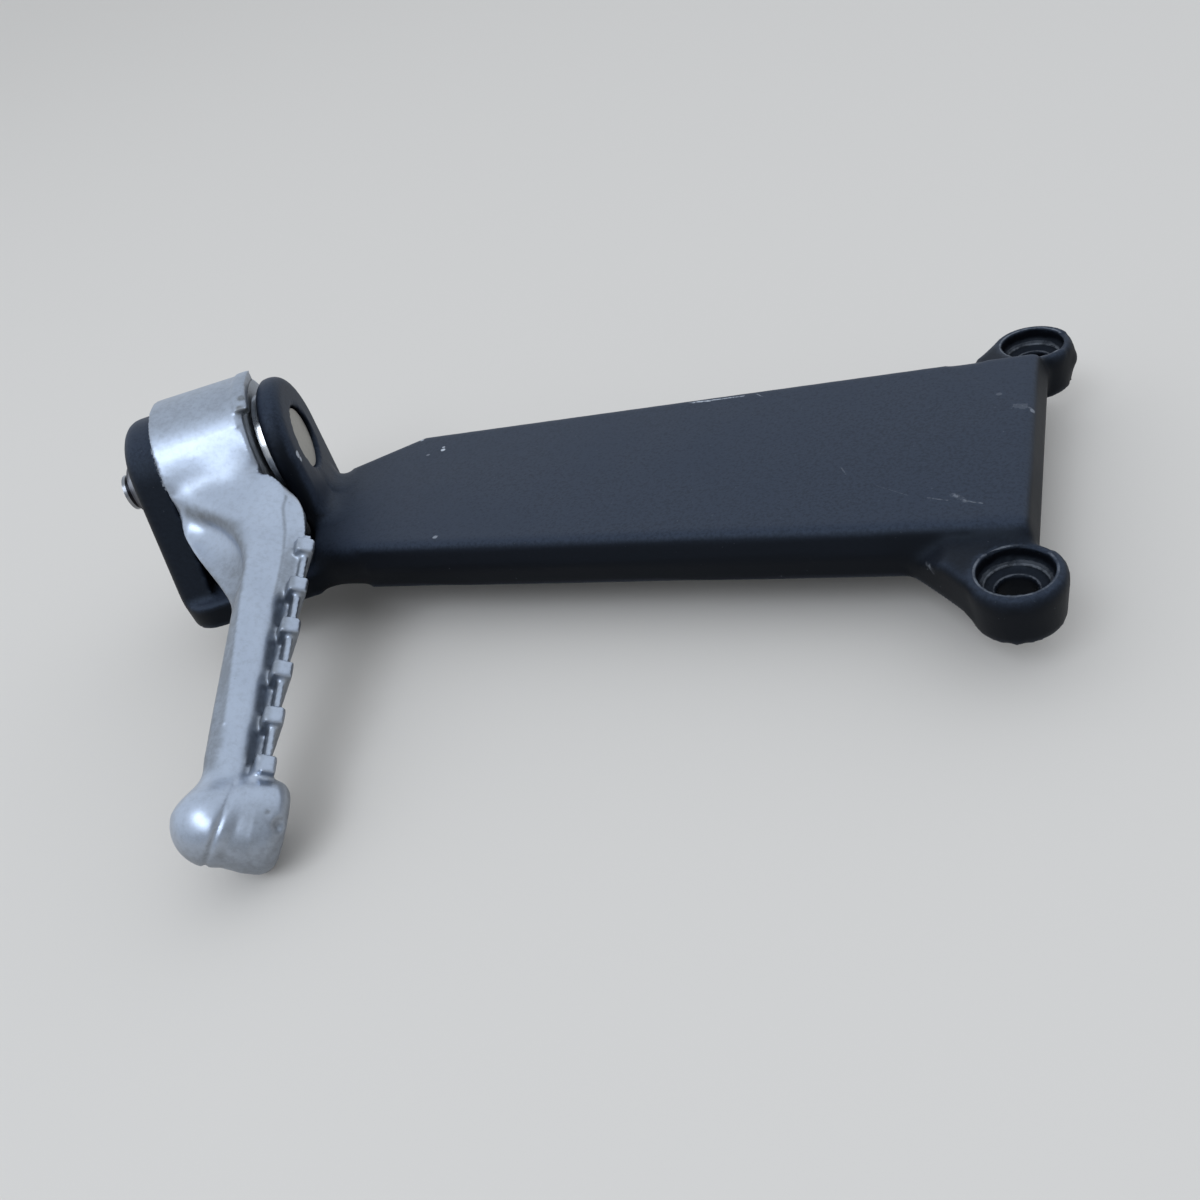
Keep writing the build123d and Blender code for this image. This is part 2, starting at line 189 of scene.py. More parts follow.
# how hollow the surface is at each vertex, in millimetres, evened out over its neighbours
def hollows(bm, rounds):
    bm.verts.index_update()
    bm.normal_update()
    around = [[edge.other_vert(v) for edge in v.link_edges] for v in bm.verts]
    values = []
    for v, others in zip(bm.verts, around):
        middle = sum((other.co for other in others), Vector()) / len(others)
        values.append((middle - v.co).dot(v.normal) / mm)
    around = [[other.index for other in others] for others in around]
    for _ in range(rounds):
        pairs = zip(values, around)
        values = [(value + sum(values[i] for i in others)) / (1 + len(others)) for value, others in pairs]
    return values


def smoothStep(value, low, high):
    part = min(max((value - low) / (high - low), 0), 1)
    return part * part * (3 - 2 * part)


# 1 up to low and 0 from high
def fade(value, low, high):
    return 1 - smoothStep(value, low, high)


# presses the surface in by depth, or out where it is below nothing, fading to reach millimetres from a place
# or a line, and only where the surface faces up enough
def press(bm, distance, reach, depth, facing=-1.01):
    for v in bm.verts:
        away = distance(v.co) / (reach * mm)
        if away < 1:
            amount = depth * (1 - away * away) ** 2 * smoothStep(v.normal.z, facing, facing + 0.2)
            v.co -= v.normal * (amount * mm)


def shadeSmooth(mesh):
    mesh.polygons.foreach_set("use_smooth", [True] * len(mesh.polygons))


# Materials

def newMaterial(name):
    material = bpy.data.materials.new(name)
    material.use_nodes = True
    nodes = material.node_tree.nodes
    nodes.clear()
    output = nodes.new("ShaderNodeOutputMaterial")
    shader = nodes.new("ShaderNodeBsdfPrincipled")
    material.node_tree.links.new(shader.outputs[0], output.inputs[0])
    return material, shader


# a node with its settings, and its inputs from values or from other sockets
def addNode(material, kind, inputs=None, **settings):
    node = material.node_tree.nodes.new("ShaderNode" + kind)
    for key, value in settings.items():
        setattr(node, key, value)
    for key, value in (inputs or {}).items():
        if isinstance(value, bpy.types.NodeSocket):
            material.node_tree.links.new(value, node.inputs[key])
        else:
            node.inputs[key].default_value = value
    return node


def objectPlace(material):
    return addNode(material, "TexCoord").outputs["Object"]


# noise whose grains are about size millimetres across
def noiseField(material, place, size, detail=3.0, roughness=0.55):
    return addNode(material, "TexNoise", {"Vector": place, "Scale": 1 / (size * mm), "Detail": detail,
                                          "Roughness": roughness}).outputs["Fac"]


def ramp(material, value, low, high, start=0.0, end=1.0):
    return addNode(material, "MapRange", {"Value": value, "From Min": low, "From Max": high, "To Min": start,
                                          "To Max": end}, interpolation_type="SMOOTHSTEP").outputs["Result"]


def combine(material, operation, first, second):
    return addNode(material, "Math", {0: first, 1: second}, operation=operation, use_clamp=True).outputs[0]


def multiplyAdd(material, value, factor, more):
    return addNode(material, "Math", {0: value, 1: factor, 2: more}, operation="MULTIPLY_ADD").outputs[0]


def vectorMath(material, operation, output, first, second):
    return addNode(material, "VectorMath", {0: first, 1: second}, operation=operation).outputs[output]


def attribute(material, name):
    return addNode(material, "Attribute", attribute_name=name).outputs["Fac"]


def mixColour(material, factor, first, second):
    return addNode(material, "Mix", {0: factor, 6: first, 7: second}, data_type="RGBA").outputs[2]


def bump(material, height, strength, distance, normal=None):
    inputs = {"Height": height, "Strength": strength, "Distance": distance * mm}
    if normal is not None:
        inputs["Normal"] = normal
    return addNode(material, "Bump", inputs).outputs["Normal"]


# a ragged spot: 1 inside radius millimetres of centre
def spot(material, place, centre, radius, wobble):
    away = vectorMath(material, "DISTANCE", "Value", place, Vector(centre) * mm)
    ragged = multiplyAdd(material, wobble, radius * 1.6 * mm, away)
    return ramp(material, ragged, (radius * 1.8 + 0.3) * mm, radius * 1.8 * mm)


# a thin ragged line from start to end
def scratch(material, place, start, end, width, wobble):
    start, end = Vector(start) * mm, Vector(end) * mm
    run = end - start
    offset = vectorMath(material, "SUBTRACT", "Vector", place, start)
    along = vectorMath(material, "DOT_PRODUCT", "Value", offset, run / run.length_squared)
    clamped = addNode(material, "Clamp", {"Value": along}).outputs[0]
    foot = addNode(material, "VectorMath", {0: run, "Scale": clamped}, operation="SCALE").outputs["Vector"]
    away = vectorMath(material, "DISTANCE", "Value", offset, foot)
    ragged = multiplyAdd(material, wobble, width * 2 * mm, away)
    return ramp(material, ragged, width * 2.3 * mm, width * mm)


# a worn ring round a bore, at one distance from its axis and one height
def wornRing(material, place, centre, radius, width, height, reach):
    offset = vectorMath(material, "SUBTRACT", "Vector", place, centre)
    flat = vectorMath(material, "MULTIPLY", "Vector", offset, (1, 1, 0))
    away = addNode(material, "VectorMath", {0: flat}, operation="LENGTH").outputs["Value"]
    level = addNode(material, "SeparateXYZ", {0: offset}).outputs["Z"]
    off = addNode(material, "Math", {0: away, 1: radius * mm}, operation="SUBTRACT").outputs[0]
    off = addNode(material, "Math", {0: off}, operation="ABSOLUTE").outputs[0]
    ring = ramp(material, off, width * mm, width * 0.3 * mm)
    band = addNode(material, "Math", {0: level, 1: height * mm, 2: reach * mm}, operation="COMPARE")
    return combine(material, "MULTIPLY", ring, band.outputs[0])


blackCoat = {
    "clean": (0.0022, 0.0026, 0.0042, 1),
    "dustySheen": (0.0265, 0.0345, 0.0525, 1),  # where the coat faces up and has gone dull with dust, also a painted sheen that makes tops and edges lighter
    "bare": (0.46, 0.49, 0.54, 1),
    "roughness": 0.50,
    "sheen": 0.14,  # how strongly the coat reflects
    "sheenColour": (0.70, 0.84, 1.0, 1),
    "speckBare": 0.10,  # how bare the pinholes in the coat are
    "edgeBare": 0.6,  # and the worn edge of the lower ear
    "chips": [  # centre, radius and how bare
        ((-186.0, -18.2, 35.0), 0.8, 1.0),
        ((-185.9, -18.0, 33.5), 0.55, 1.0),
        ((-163.4, 11.1, 15.5), 0.5, 1.0),
        ((-163.9, 12.6, 15.5), 0.3, 0.8),
        ((-174.0, 17.8, 15.3), 0.45, 0.7),
        ((-167.4, 8.9, 15.5), 0.35, 0.25),
        ((-144.7, -31.9, 15.5), 0.5, 0.4),
        ((1.7, 8.8, 15.0), 0.6, 0.30),
        ((-6.6, 16.9, 15.5), 0.5, 0.10),
        ((-0.6, 10.2, 15.5), 1.1, 0.07),
        ((-2.0, 10.7, 15.5), 0.8, 0.06),
    ],
    "scratches": [  # start, end, width and how bare
        ((-90.4, 26.2, 15.5), (-84.6, 26.2, 15.5), 0.45, 1.0),
        ((-84.6, 26.4, 15.4), (-75.0, 27.2, 15.4), 0.35, 0.8),
        ((-71.3, 27.6, 15.4), (-69.4, 25.9, 15.5), 0.25, 0.4),
        ((-2.8, 11.4, 15.5), (1.6, 9.4, 15.2), 0.35, 0.16),
        ((-14.0, -25.1, 15.5), (-11.1, -27.7, 15.5), 0.7, 0.22),
        ((-11.1, -27.7, 15.5), (-7.6, -28.8, 15.5), 0.3, 0.2),
        ((-19.6, -25.8, 15.5), (-15.2, -27.1, 15.5), 0.25, 0.13),
        ((-41.9, -10.7, 15.5), (-39.9, -14.3, 15.5), 0.2, 0.13),
        ((-0.2, -35.6, 15.3), (2.0, -35.9, 14.8), 0.22, 0.25),
        ((-31.8, -19.9, 15.5), (-24.2, -24.4, 15.5), 0.15, 0.08),
        ((-20.4, -40.6, 10.4), (-17.2, -43.6, 8.9), 0.7, 0.20),
        ((-3.4, 9.6, 15.5), (-2.4, 11.6, 15.5), 0.2, 0.12),
    ],
    "rings": [  # radius, width, height, reach up and down, and how bare
        (8.35, 0.35, 12.5, 0.6, 0.30),
        (7.0, 0.8, 8.5, 0.4, 0.10),
        (6.75, 0.22, 8.45, 0.5, 0.26),
        (4.6, 0.35, 7.4, 0.3, 0.18),
    ],
}


def coatMaterial():
    material, shader = newMaterial("blackCoat")
    place = objectPlace(material)
    broad = noiseField(material, place, 30, 3)
    fine = noiseField(material, place, 0.55, 3, 0.6)
    wobble = noiseField(material, place, 0.9, 3, 0.7)
    # dust and painted sheen: the coat lighter where it faces up, on the upper ear's outer face and along
    # sharp edges
    dustAndSheen = attribute(material, "dustAndSheen")
    grain = ramp(material, noiseField(material, place, 0.85, 3, 0.7), 0.3, 0.7, 0.70, 1.22)
    patch = ramp(material, broad, 0.3, 0.7, 0.92, 1.05)
    amount = addNode(material, "Math", {0: grain, 1: patch}, operation="MULTIPLY").outputs[0]
    amount = addNode(material, "Math", {0: dustAndSheen, 1: amount}, operation="MULTIPLY").outputs[0]
    colour = mixColour(material, amount, blackCoat["clean"], blackCoat["dustySheen"])
    speck = ramp(material, noiseField(material, place, 0.8, 2, 0.4), 0.74, 0.84)
    marks = combine(material, "MULTIPLY", speck, blackCoat["speckBare"])
    broken = ramp(material, noiseField(material, place, 1.3, 3, 0.7), 0.40, 0.56, 0.15, 1.0)
    for centre, radius, bare in blackCoat["chips"]:
        mark = combine(material, "MULTIPLY", spot(material, place, centre, radius, wobble), bare)
        marks = combine(material, "MAXIMUM", marks, mark)
    for start, end, width, bare in blackCoat["scratches"]:
        mark = combine(material, "MULTIPLY", scratch(material, place, start, end, width, wobble), bare)
        marks = combine(material, "MAXIMUM", marks, combine(material, "MULTIPLY", mark, broken))
    patchy = ramp(material, noiseField(material, place, 4.5, 4, 0.7), 0.36, 0.62, 0.15, 1.0)
    for radius, width, height, reach, bare in blackCoat["rings"]:
        for bolt in boltPlaces:
            ring = wornRing(material, place, bolt, radius, width, height, reach)
            ring = combine(material, "MULTIPLY", combine(material, "MULTIPLY", ring, patchy), bare)
            marks = combine(material, "MAXIMUM", marks, ring)
    rubbed = noiseField(material, place, 1.1, 4, 0.75)
    edge = combine(material, "MULTIPLY", attribute(material, "wear"), rubbed)
    worn = combine(material, "MULTIPLY", ramp(material, edge, 0.30, 0.46), blackCoat["edgeBare"])
    marks = combine(material, "MAXIMUM", marks, worn)
    colour = mixColour(material, marks, colour, blackCoat["bare"])
    material.node_tree.links.new(colour, shader.inputs["Base Color"])
    rough = ramp(material, broad, 0.2, 0.8, blackCoat["roughness"] - 0.03, blackCoat["roughness"] + 0.04)
    material.node_tree.links.new(rough, shader.inputs["Roughness"])
    shader.inputs["Specular IOR Level"].default_value = blackCoat["sheen"]
    shader.inputs["Specular Tint"].default_value = blackCoat["sheenColour"]
    normal = bump(material, fine, 0.5, 0.04)
    normal = bump(material, noiseField(material, place, 3.5, 2), 0.15, 0.06, normal)
    material.node_tree.links.new(normal, shader.inputs["Normal"])
    return material


bareAlloy = {
    "colour": (0.405, 0.455, 0.540, 1),
    "bright": (0.455, 0.510, 0.600, 1),
    # the colour of grime, also used for painted shade and for the cast skin's darker grains
    "grimeAndShade": (0.125, 0.125, 0.118, 1),
    "fresh": (0.62, 0.68, 0.76, 1),
    "roughness": 0.34,
    "grimeAndShadeRoughness": 0.20,  # how much rougher the metal is under grime and painted shade
    "mottling": 0.17,  # how much the cast skin varies from grain to grain
}


def alloyMaterial():
    material, shader = newMaterial("bareAlloy")
    place = objectPlace(material)
    broad = noiseField(material, place, 14, 3)
    fine = noiseField(material, place, 0.35, 3)
    # grime and painted shade: darker in the channel, in hollows, facing down, on the bar's side away from
    # its tread, on the hub and its top, along lines and in spots
    grimeAndShade = attribute(material, "grimeAndShade")
    fresh = attribute(material, "fresh")
    colour = mixColour(material, ramp(material, broad, 0.25, 0.75), bareAlloy["colour"], bareAlloy["bright"])
    grain = ramp(material, noiseField(material, place, 1.5, 4, 0.75), 0.42, 0.72, 0, bareAlloy["mottling"])
    colour = mixColour(material, grain, colour, bareAlloy["grimeAndShade"])
    blotch = ramp(material, noiseField(material, place, 3.0, 4, 0.7), 0.30, 0.62, 0.75, 1.0)
    colour = mixColour(material, combine(material, "MULTIPLY", grimeAndShade, blotch), colour, bareAlloy["grimeAndShade"])
    colour = mixColour(material, fresh, colour, bareAlloy["fresh"])
    pit = ramp(material, noiseField(material, place, 0.9, 2, 0.4), 0.74, 0.84, 0, 0.3)
    colour = mixColour(material, pit, colour, bareAlloy["grimeAndShade"])
    material.node_tree.links.new(colour, shader.inputs["Base Color"])
    rough = ramp(material, broad, 0.2, 0.8, bareAlloy["roughness"] - 0.03, bareAlloy["roughness"] + 0.05)
    rough = multiplyAdd(material, grimeAndShade, bareAlloy["grimeAndShadeRoughness"], rough)
    material.node_tree.links.new(rough, shader.inputs["Roughness"])
    shader.inputs["Metallic"].default_value = 1.0
    normal = bump(material, fine, 0.4, 0.02)
    normal = bump(material, noiseField(material, place, 2.2, 3), 0.16, 0.05, normal)
    material.node_tree.links.new(normal, shader.inputs["Normal"])
    return material


smallSteel = [  # node, material, colour and roughness
    # painted shade: the washer and the clip, bare steel in shade past the lower ear, get dark colours
    ("clip_washer", "washerSteel", (0.16, 0.16, 0.17, 1), 0.4),
    ("retaining_clip", "clipSteel", (0.10, 0.10, 0.11, 1), 0.35),
    ("detent_plate", "plateSteel", (0.80, 0.80, 0.80, 1), 0.22),
    ("detent_ball", "ballSteel", (0.75, 0.75, 0.76, 1), 0.12),
    ("detent_spring", "springSteel", (0.40, 0.40, 0.41, 1), 0.35),
]


def steelMaterial(name, colour, roughness):
    material, shader = newMaterial(name)
    place = objectPlace(material)
    mottled = noiseField(material, place, 2.5, 3)
    dark = tuple(c * 0.8 for c in colour[:3]) + (1,)
    material.node_tree.links.new(mixColour(material, mottled, dark, colour), shader.inputs["Base Color"])
    rough = ramp(material, mottled, 0.2, 0.8, roughness - 0.06, roughness + 0.06)
    material.node_tree.links.new(rough, shader.inputs["Roughness"])
    shader.inputs["Metallic"].default_value = 1.0
    normal = bump(material, noiseField(material, place, 0.8, 2), 0.3, 0.03)
    material.node_tree.links.new(normal, shader.inputs["Normal"])
    return material


pivotPin = {
    "head": (0.47, 0.455, 0.42, 1),
    "shadedTail": (0.012, 0.012, 0.014, 1),  # painted shade: the tail, bare steel in shade past the lower ear, is near-black
    # painted shade: the rim at the tail's end darker than the head
    "rim": (0.24, 0.245, 0.26, 1),
    "tailFrom": -44.5,  # along the pin, from the upper ear's outer face
    "rimFrom": -50.2,
}


def pinMaterial():
    material, shader = newMaterial("pinSteel")
    place = objectPlace(material)
    offset = vectorMath(material, "SUBTRACT", "Vector", place, pinCentre)
    along = vectorMath(material, "DOT_PRODUCT", "Value", offset, pinAxis)
    mottled = noiseField(material, place, 1.2, 3, 0.7)
    dark = tuple(c * 0.75 for c in pivotPin["head"][:3]) + (1,)
    colour = mixColour(material, mottled, dark, pivotPin["head"])
    # painted shade: the tail and its rim darker than the head
    shadedTail = ramp(material, along, (pivotPin["tailFrom"] + 0.3) * mm, pivotPin["tailFrom"] * mm)
    rim = ramp(material, along, (pivotPin["rimFrom"] + 0.2) * mm, pivotPin["rimFrom"] * mm)
    colour = mixColour(material, shadedTail, colour, pivotPin["shadedTail"])
    colour = mixColour(material, rim, colour, pivotPin["rim"])
    material.node_tree.links.new(colour, shader.inputs["Base Color"])
    rough = ramp(material, along, pivotPin["tailFrom"] * mm, (pivotPin["tailFrom"] + 0.3) * mm, 0.25, 0.55)
    material.node_tree.links.new(rough, shader.inputs["Roughness"])
    shader.inputs["Metallic"].default_value = 1.0
    normal = bump(material, noiseField(material, place, 0.5, 2), 0.3, 0.03)
    material.node_tree.links.new(normal, shader.inputs["Normal"])
    return material


def dress(piece, material):
    piece.data.materials.clear()
    piece.data.materials.append(material)
    for polygon in piece.data.polygons:
        polygon.material_index = 0


# Bracket arm

armFinish = {
    "voxel": 0.8,
    "rounds": 2,
    "blends": [  # rounds of smoothing, place and reach
        (60, (-187, -13, 14), 12),
        (60, (-193, -3, 15), 8),
        (40, (-176, -36, 9), 10),
        (6, (-20, -38, 12), 7),
        (14, (-4, -37.5, 13), 6),
        (10, (4, -38, 13), 5),
        (20, (-16, 36, 12), 6),
        (12, (8, 48, 7), 7),
    ],
    "boltBores": [(8.0, (8.7, 12.3)), (6.6, (7.5, 8.3)), (4.25, (0.4, 7.1))],  # radius, from and to upwards
    "pinBore": (9.0, (-3.7, -0.4)),  # radius, from and to along the pin
    "upwards": (0.25, 0.95),  # how far up the coat faces where dust and painted sheen start, and where they are full
    "lugDustAndSheen": 0.20,  # the share of the dust and painted sheen that lies on the lugs
    "lugReach": (26, 34),  # the lugs end between these distances from a bolt
    "lugTop": (13.6, 15.1),  # and these heights
    "sidePaintedSheen": 0.95,  # painted sheen on the upper ear's outer face
    "sideFrom": (-8, 24),  # past this place along the pin, and within this distance of it
    "sideways": (0.3, 0.9),
    # painted highlight: sharp convex edges, the rounded fold among them, lighter
    "edgePaintedHighlight": 0.62,
    "edges": (0.02, 0.09),  # how sharp an edge is where its painted highlight starts, and where it is full
    "wornEdge": {  # places along the pin, away from it, in height and towards the front
        "along": (-36.4, -33.4),
        "middle": -34.6,
        "width": 1.8,
        "away": 16.2,
        "height": (37.5, 51),
        "front": -24,
    },
}


# how much dust and painted sheen lighten the coat at a vertex: where it faces up, and painted sheen where it
# faces out from the upper ear
def dustAndSheenOn(v):
    dustAndSheen = smoothStep(v.normal.z, *armFinish["upwards"])
    away = min((v.co.xy - bolt.xy).length for bolt in boltPlaces) / mm
    lug = fade(away, *armFinish["lugReach"]) * fade(v.co.z / mm, *armFinish["lugTop"])
    dustAndSheen *= 1 - lug * (1 - armFinish["lugDustAndSheen"])
    along, away = pinPlace(v.co)
    if along > armFinish["sideFrom"][0] and away < armFinish["sideFrom"][1]:
        dustAndSheen = max(dustAndSheen, armFinish["sidePaintedSheen"] * smoothStep(v.normal.dot(pinAxis), *armFinish["sideways"]))
    return dustAndSheen


# how worn the coat is at a vertex: along the lower ear's inner edge, beside the hub
def wearOn(v):
    worn = armFinish["wornEdge"]
    along, away = pinPlace(v.co)
    onEdge = worn["along"][0] < along < worn["along"][1] and away > worn["away"]
    inFront = worn["height"][0] * mm < v.co.z < worn["height"][1] * mm and v.co.y < worn["front"] * mm
    return 1.0 - abs(along - worn["middle"]) / worn["width"] if onEdge and inFront else 0.0


def makeArm(material):
    piece = castCopy("arm", "bracket_arm", armFinish["voxel"])
    bm = bmesh.new()
    bm.from_mesh(piece.data)
    zones = [(armFinish["rounds"], None)]
    zones += [(rounds, near(place, reach)) for rounds, place, reach in armFinish["blends"]]
    soften(bm, zones)
    for bolt in boltPlaces:
        for radius, depths in armFinish["boltBores"]:
            trueBore(bm, bolt, Vector((0, 0, 1)), radius, depths)
    trueBore(bm, pinCentre, pinAxis, *armFinish["pinBore"])
    wear = bm.verts.layers.float.new("wear")
    dustAndSheen = bm.verts.layers.float.new("dustAndSheen")
    for v, hollow in zip(bm.verts, hollows(bm, 3)):
        v[wear] = wearOn(v)
        # dust and painted sheen, plus a painted highlight along sharp edges
        v[dustAndSheen] = dustAndSheenOn(v) + armFinish["edgePaintedHighlight"] * smoothStep(-hollow, *armFinish["edges"])
    bm.to_mesh(piece.data)
    bm.free()
    shadeSmooth(piece.data)
    dress(piece, material)
    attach(piece, "bracket")
    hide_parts("bracket_arm")
    print("arm:", len(piece.data.polygons), "faces")


# Footpeg

pegFinish = {
    "voxel": 0.475,
    "rounds": 2,
    "treadBlend": [  # rounds of smoothing, from and to along the bar and outwards, and how far to its side
        (5, (42, 109), (0.2, farOff)),  # the tread
        (36, (46, 106), (-1.3, 2.1), 0),  # the channel beside it
        (60, (111, farOff), (-3.5, 4.0)),  # the knob, where its creases run
    ],
    "hubCrease": metres((-209.5, -36, 38), (-202.2, -32.9, 37.6), (-194, -28.6, 38)),
    "hubBlend": [  # rounds of smoothing, reach, and from and to along the pin
        (90, 6, -32.3, -10.0),
        (70, 8, -31.0, -10.0),
        (260, 11, -23.0, -10.2),
        (200, 8.5, -20.0, -11.0),
        (50, 11, -27.0, -10.0),
        (40, 7, -32.3, -10.0),
    ],
    "crest": metres((-210, -39.5, 33.5), (-203.6, -41.1, 33.5), (-190.1, -45.1, 32), (-184.6, -51.8, 29.5)),
    "crestBlend": (12, 4.0),  # rounds of smoothing and reach
    "knobBlend": [  # as for the tread
        (40, (98, 104), (-farOff, -2)),
        (160, (105.5, 118), (-farOff, 0.5)),
        (120, (108, 116), (-farOff, 0.5)),
        (60, (107, 113), (-farOff, 3.5)),
        (30, (104, 119), (-farOff, 0.5)),
    ],
    "knobCreases": [  # how far outwards, where along the bar, lean, depth and width
        (-1.4, 117, -0.155, 0.42, 0.55),
        (2.2, 115, -0.18, 0.12, 0.9),
    ],
    "knobFrom": (111, 114),  # the creases start between these places along the bar
    "dents": [  # place, reach and depth
        ((-147.4, -115.3, 2.9), 2.2, 1.1),
        ((-145.7, -116.2, 1.4), 1.8, -0.6),
        ((-149.0, -114.5, 6.1), 1.0, 0.15),
    ],
    "trough": metres((-203.5, -44.6, 29), (-193.5, -51, 26.5), (-185.5, -58.6, 23.5)),
    "troughReach": 7.0,
    "troughDepth": 1.9,
    "troughFacing": 0.45,  # only where the web faces up at least this much
    "troughBlend": (14, 10),  # rounds of smoothing and reach
    "barFrom": (38, 50),  # the bar's own grime and painted shade start and end between these places along it
    "barTo": (106, 112),
    "channelFloor": (-0.8, 0.8),  # how far outwards the channel is, at its floor and its top
    "channelTop": (2.6, 4.2),
    "undersideShade": (0.50, -0.50, 0.15),  # painted shade, darker where the metal faces down: amount, and how far down the metal faces, from and to
    "hollowGrimeAndShade": (0.40, 0.008, 0.06),  # grime and painted shade in hollows: amount, and how hollow it is
    "channelHollows": 0.4,  # the share of that in the channel
    # grime and painted shade in the channel beside the tread
    "channelGrimeAndShade": 0.50,
    "innerSideShade": (0.58, 0.20, 0.75),  # painted shade, darker on the bar's side away from its tread: amount, and how far the bar faces away from its tread
    "hubShade": (0.14, 21.2, 25),  # painted shade, darker on the hub: amount, and distance from the pin's axis
    "topShade": (0.36, 47.5, 52.5),  # painted shade, darker high up on the hub's top: amount, and height
    "grimeAndShadeLines": [  # grime and painted shade along lines: amount, where it starts to fade, where it ends, and its points
        (0.30, 0.5, 5.0, metres((-206.1, -34.7, 38.2), (-201.9, -32.5, 38.3), (-197.3, -29.6, 39.8),
                                (-195.4, -27.9, 41.6))),  # painted shade under the hub, dimming a second highlight there
        (0.50, 0.1, 0.6, metres((-181.6, -33.6, 32), (-180.7, -37.5, 31), (-178.1, -43.3, 27.8),
                                (-176, -49.9, 25.1), (-174.1, -56.6, 23.1), (-172.4, -62.8, 21.6),
                                (-170.5, -68.6, 19.8))),  # the parting line
        (0.65, 0.4, 3.4, metres((-208, -40.3, 33), (-203.4, -41.6, 32.6), (-196.5, -43.6, 31.9),
                                (-190.4, -46, 31.2), (-185.4, -52.2, 29.2))),  # painted shadow under the crest
    ],
    "shadeAndGrimeSpots": [  # painted shade and grime in spots: place, reach and amount
        # painted shade in the notch by the hub's lip, darkening its ledge
        ((-195.4, -16.8, 52.4), 1.6, 0.85),
        ((-194.9, -19.7, 50.5), 2.0, 0.9),
        ((-194.1, -18.8, 49.6), 1.8, 0.9),
        # painted shade on the side of the hub's lip
        ((-197.5, -10.7, 53.1), 2.4, 0.4),
        # grime and painted shade in two of the knob's dents
        ((-147.4, -115.3, 2.9), 1.6, 0.75),
        ((-149.0, -114.5, 6.1), 0.9, 0.6),
        # painted shade: the knob's barrel darker
        ((-150.5, -119.5, 3.0), 10, 0.38),
    ],
    "freshMetal": ((-145.7, -116.2, 1.4), 0.7, 1.5),  # place, where it starts to fade and where it ends
}


# presses the knob's two creases into it, all the way round
def pressCreases(bm):
    for v in bm.verts:
        along, out, _ = barPlace(v.co)
        start = smoothStep(along, *pegFinish["knobFrom"])
        for place, where, lean, depth, width in pegFinish["knobCreases"]:
            off = (out - place - lean * (along - where)) / width
            if abs(off) < 3:
                v.co -= v.normal * (depth * mm * math.exp(-off * off) * start)


# presses the dents into the knob, and the trough into the web beside its crest
def pressHollows(bm):
    for place, reach, depth in pegFinish["dents"]:
        centre = Vector(place) * mm
        press(bm, lambda co: (co - centre).length, reach, depth)
    trough = pegFinish["trough"]
    press(bm, lambda co: lineDistance(co, trough), pegFinish["troughReach"], pegFinish["troughDepth"],
          pegFinish["troughFacing"])
    rounds, reach = pegFinish["troughBlend"]
    soften(bm, [(rounds, alongLine(trough, reach))])


# how much grime and painted shade darken the metal at a vertex
def grimeAndShadeOn(v, hollow):
    along, out, _ = barPlace(v.co)
    bar = smoothStep(along, *pegFinish["barFrom"]) * fade(along, *pegFinish["barTo"])
    channel = bar * smoothStep(out, *pegFinish["channelFloor"]) * fade(out, *pegFinish["channelTop"])
    share = 1 - channel * (1 - pegFinish["channelHollows"])
    amounts = [channel * pegFinish["channelGrimeAndShade"]]
    for name, part, value in (("undersideShade", 1, -v.normal.z), ("hollowGrimeAndShade", share, hollow),
                              ("innerSideShade", bar, -v.normal.dot(treadOut)), ("topShade", 1, v.co.z / mm)):
        amount, low, high = pegFinish[name]
        amounts.append(amount * part * smoothStep(value, low, high))
    amount, low, high = pegFinish["hubShade"]
    amounts.append(amount * fade(pinPlace(v.co)[1], low, high))
    for amount, low, high, points in pegFinish["grimeAndShadeLines"]:
        amounts.append(amount * fade(lineDistance(v.co, points) / mm, low, high))
    for place, reach, amount in pegFinish["shadeAndGrimeSpots"]:
        away = (v.co - Vector(place) * mm).length / mm
        amounts.append(amount * fade(away, reach * 0.4, reach))
    return max(amounts)


def makePeg(material):
    piece = castCopy("peg", "footpeg", pegFinish["voxel"])
    bm = bmesh.new()
    bm.from_mesh(piece.data)
    zones = [(pegFinish["rounds"], None)]
    zones += [(rounds, onBar(*where)) for rounds, *where in pegFinish["treadBlend"]]
    zones += [(rounds, byCrease(*where)) for rounds, *where in pegFinish["hubBlend"]]
    rounds, reach = pegFinish["crestBlend"]
    zones.append((rounds, alongLine(pegFinish["crest"], reach)))
    zones += [(rounds, onBar(*where)) for rounds, *where in pegFinish["knobBlend"]]
    soften(bm, zones)
    bm.normal_update()
    pressCreases(bm)
    pressHollows(bm)
    grimeAndShade = bm.verts.layers.float.new("grimeAndShade")
    fresh = bm.verts.layers.float.new("fresh")
    place, low, high = pegFinish["freshMetal"]
    centre = Vector(place) * mm
    for v, hollow in zip(bm.verts, hollows(bm, 4)):
        v[grimeAndShade] = grimeAndShadeOn(v, hollow)
        v[fresh] = fade((v.co - centre).length / mm, low, high)
    bm.to_mesh(piece.data)
    bm.free()
    shadeSmooth(piece.data)
    dress(piece, material)
    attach(piece, "peg")
    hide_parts("footpeg")
    print("peg:", len(piece.data.polygons), "faces")


makeArm(coatMaterial())
makePeg(alloyMaterial())
dress(frame["nodes"]["pivot_pin"], pinMaterial())
for node, name, colour, roughness in smallSteel:
    dress(frame["nodes"][node], steelMaterial(name, colour, roughness))
print("small steel pieces dressed")


# Floor, light and camera

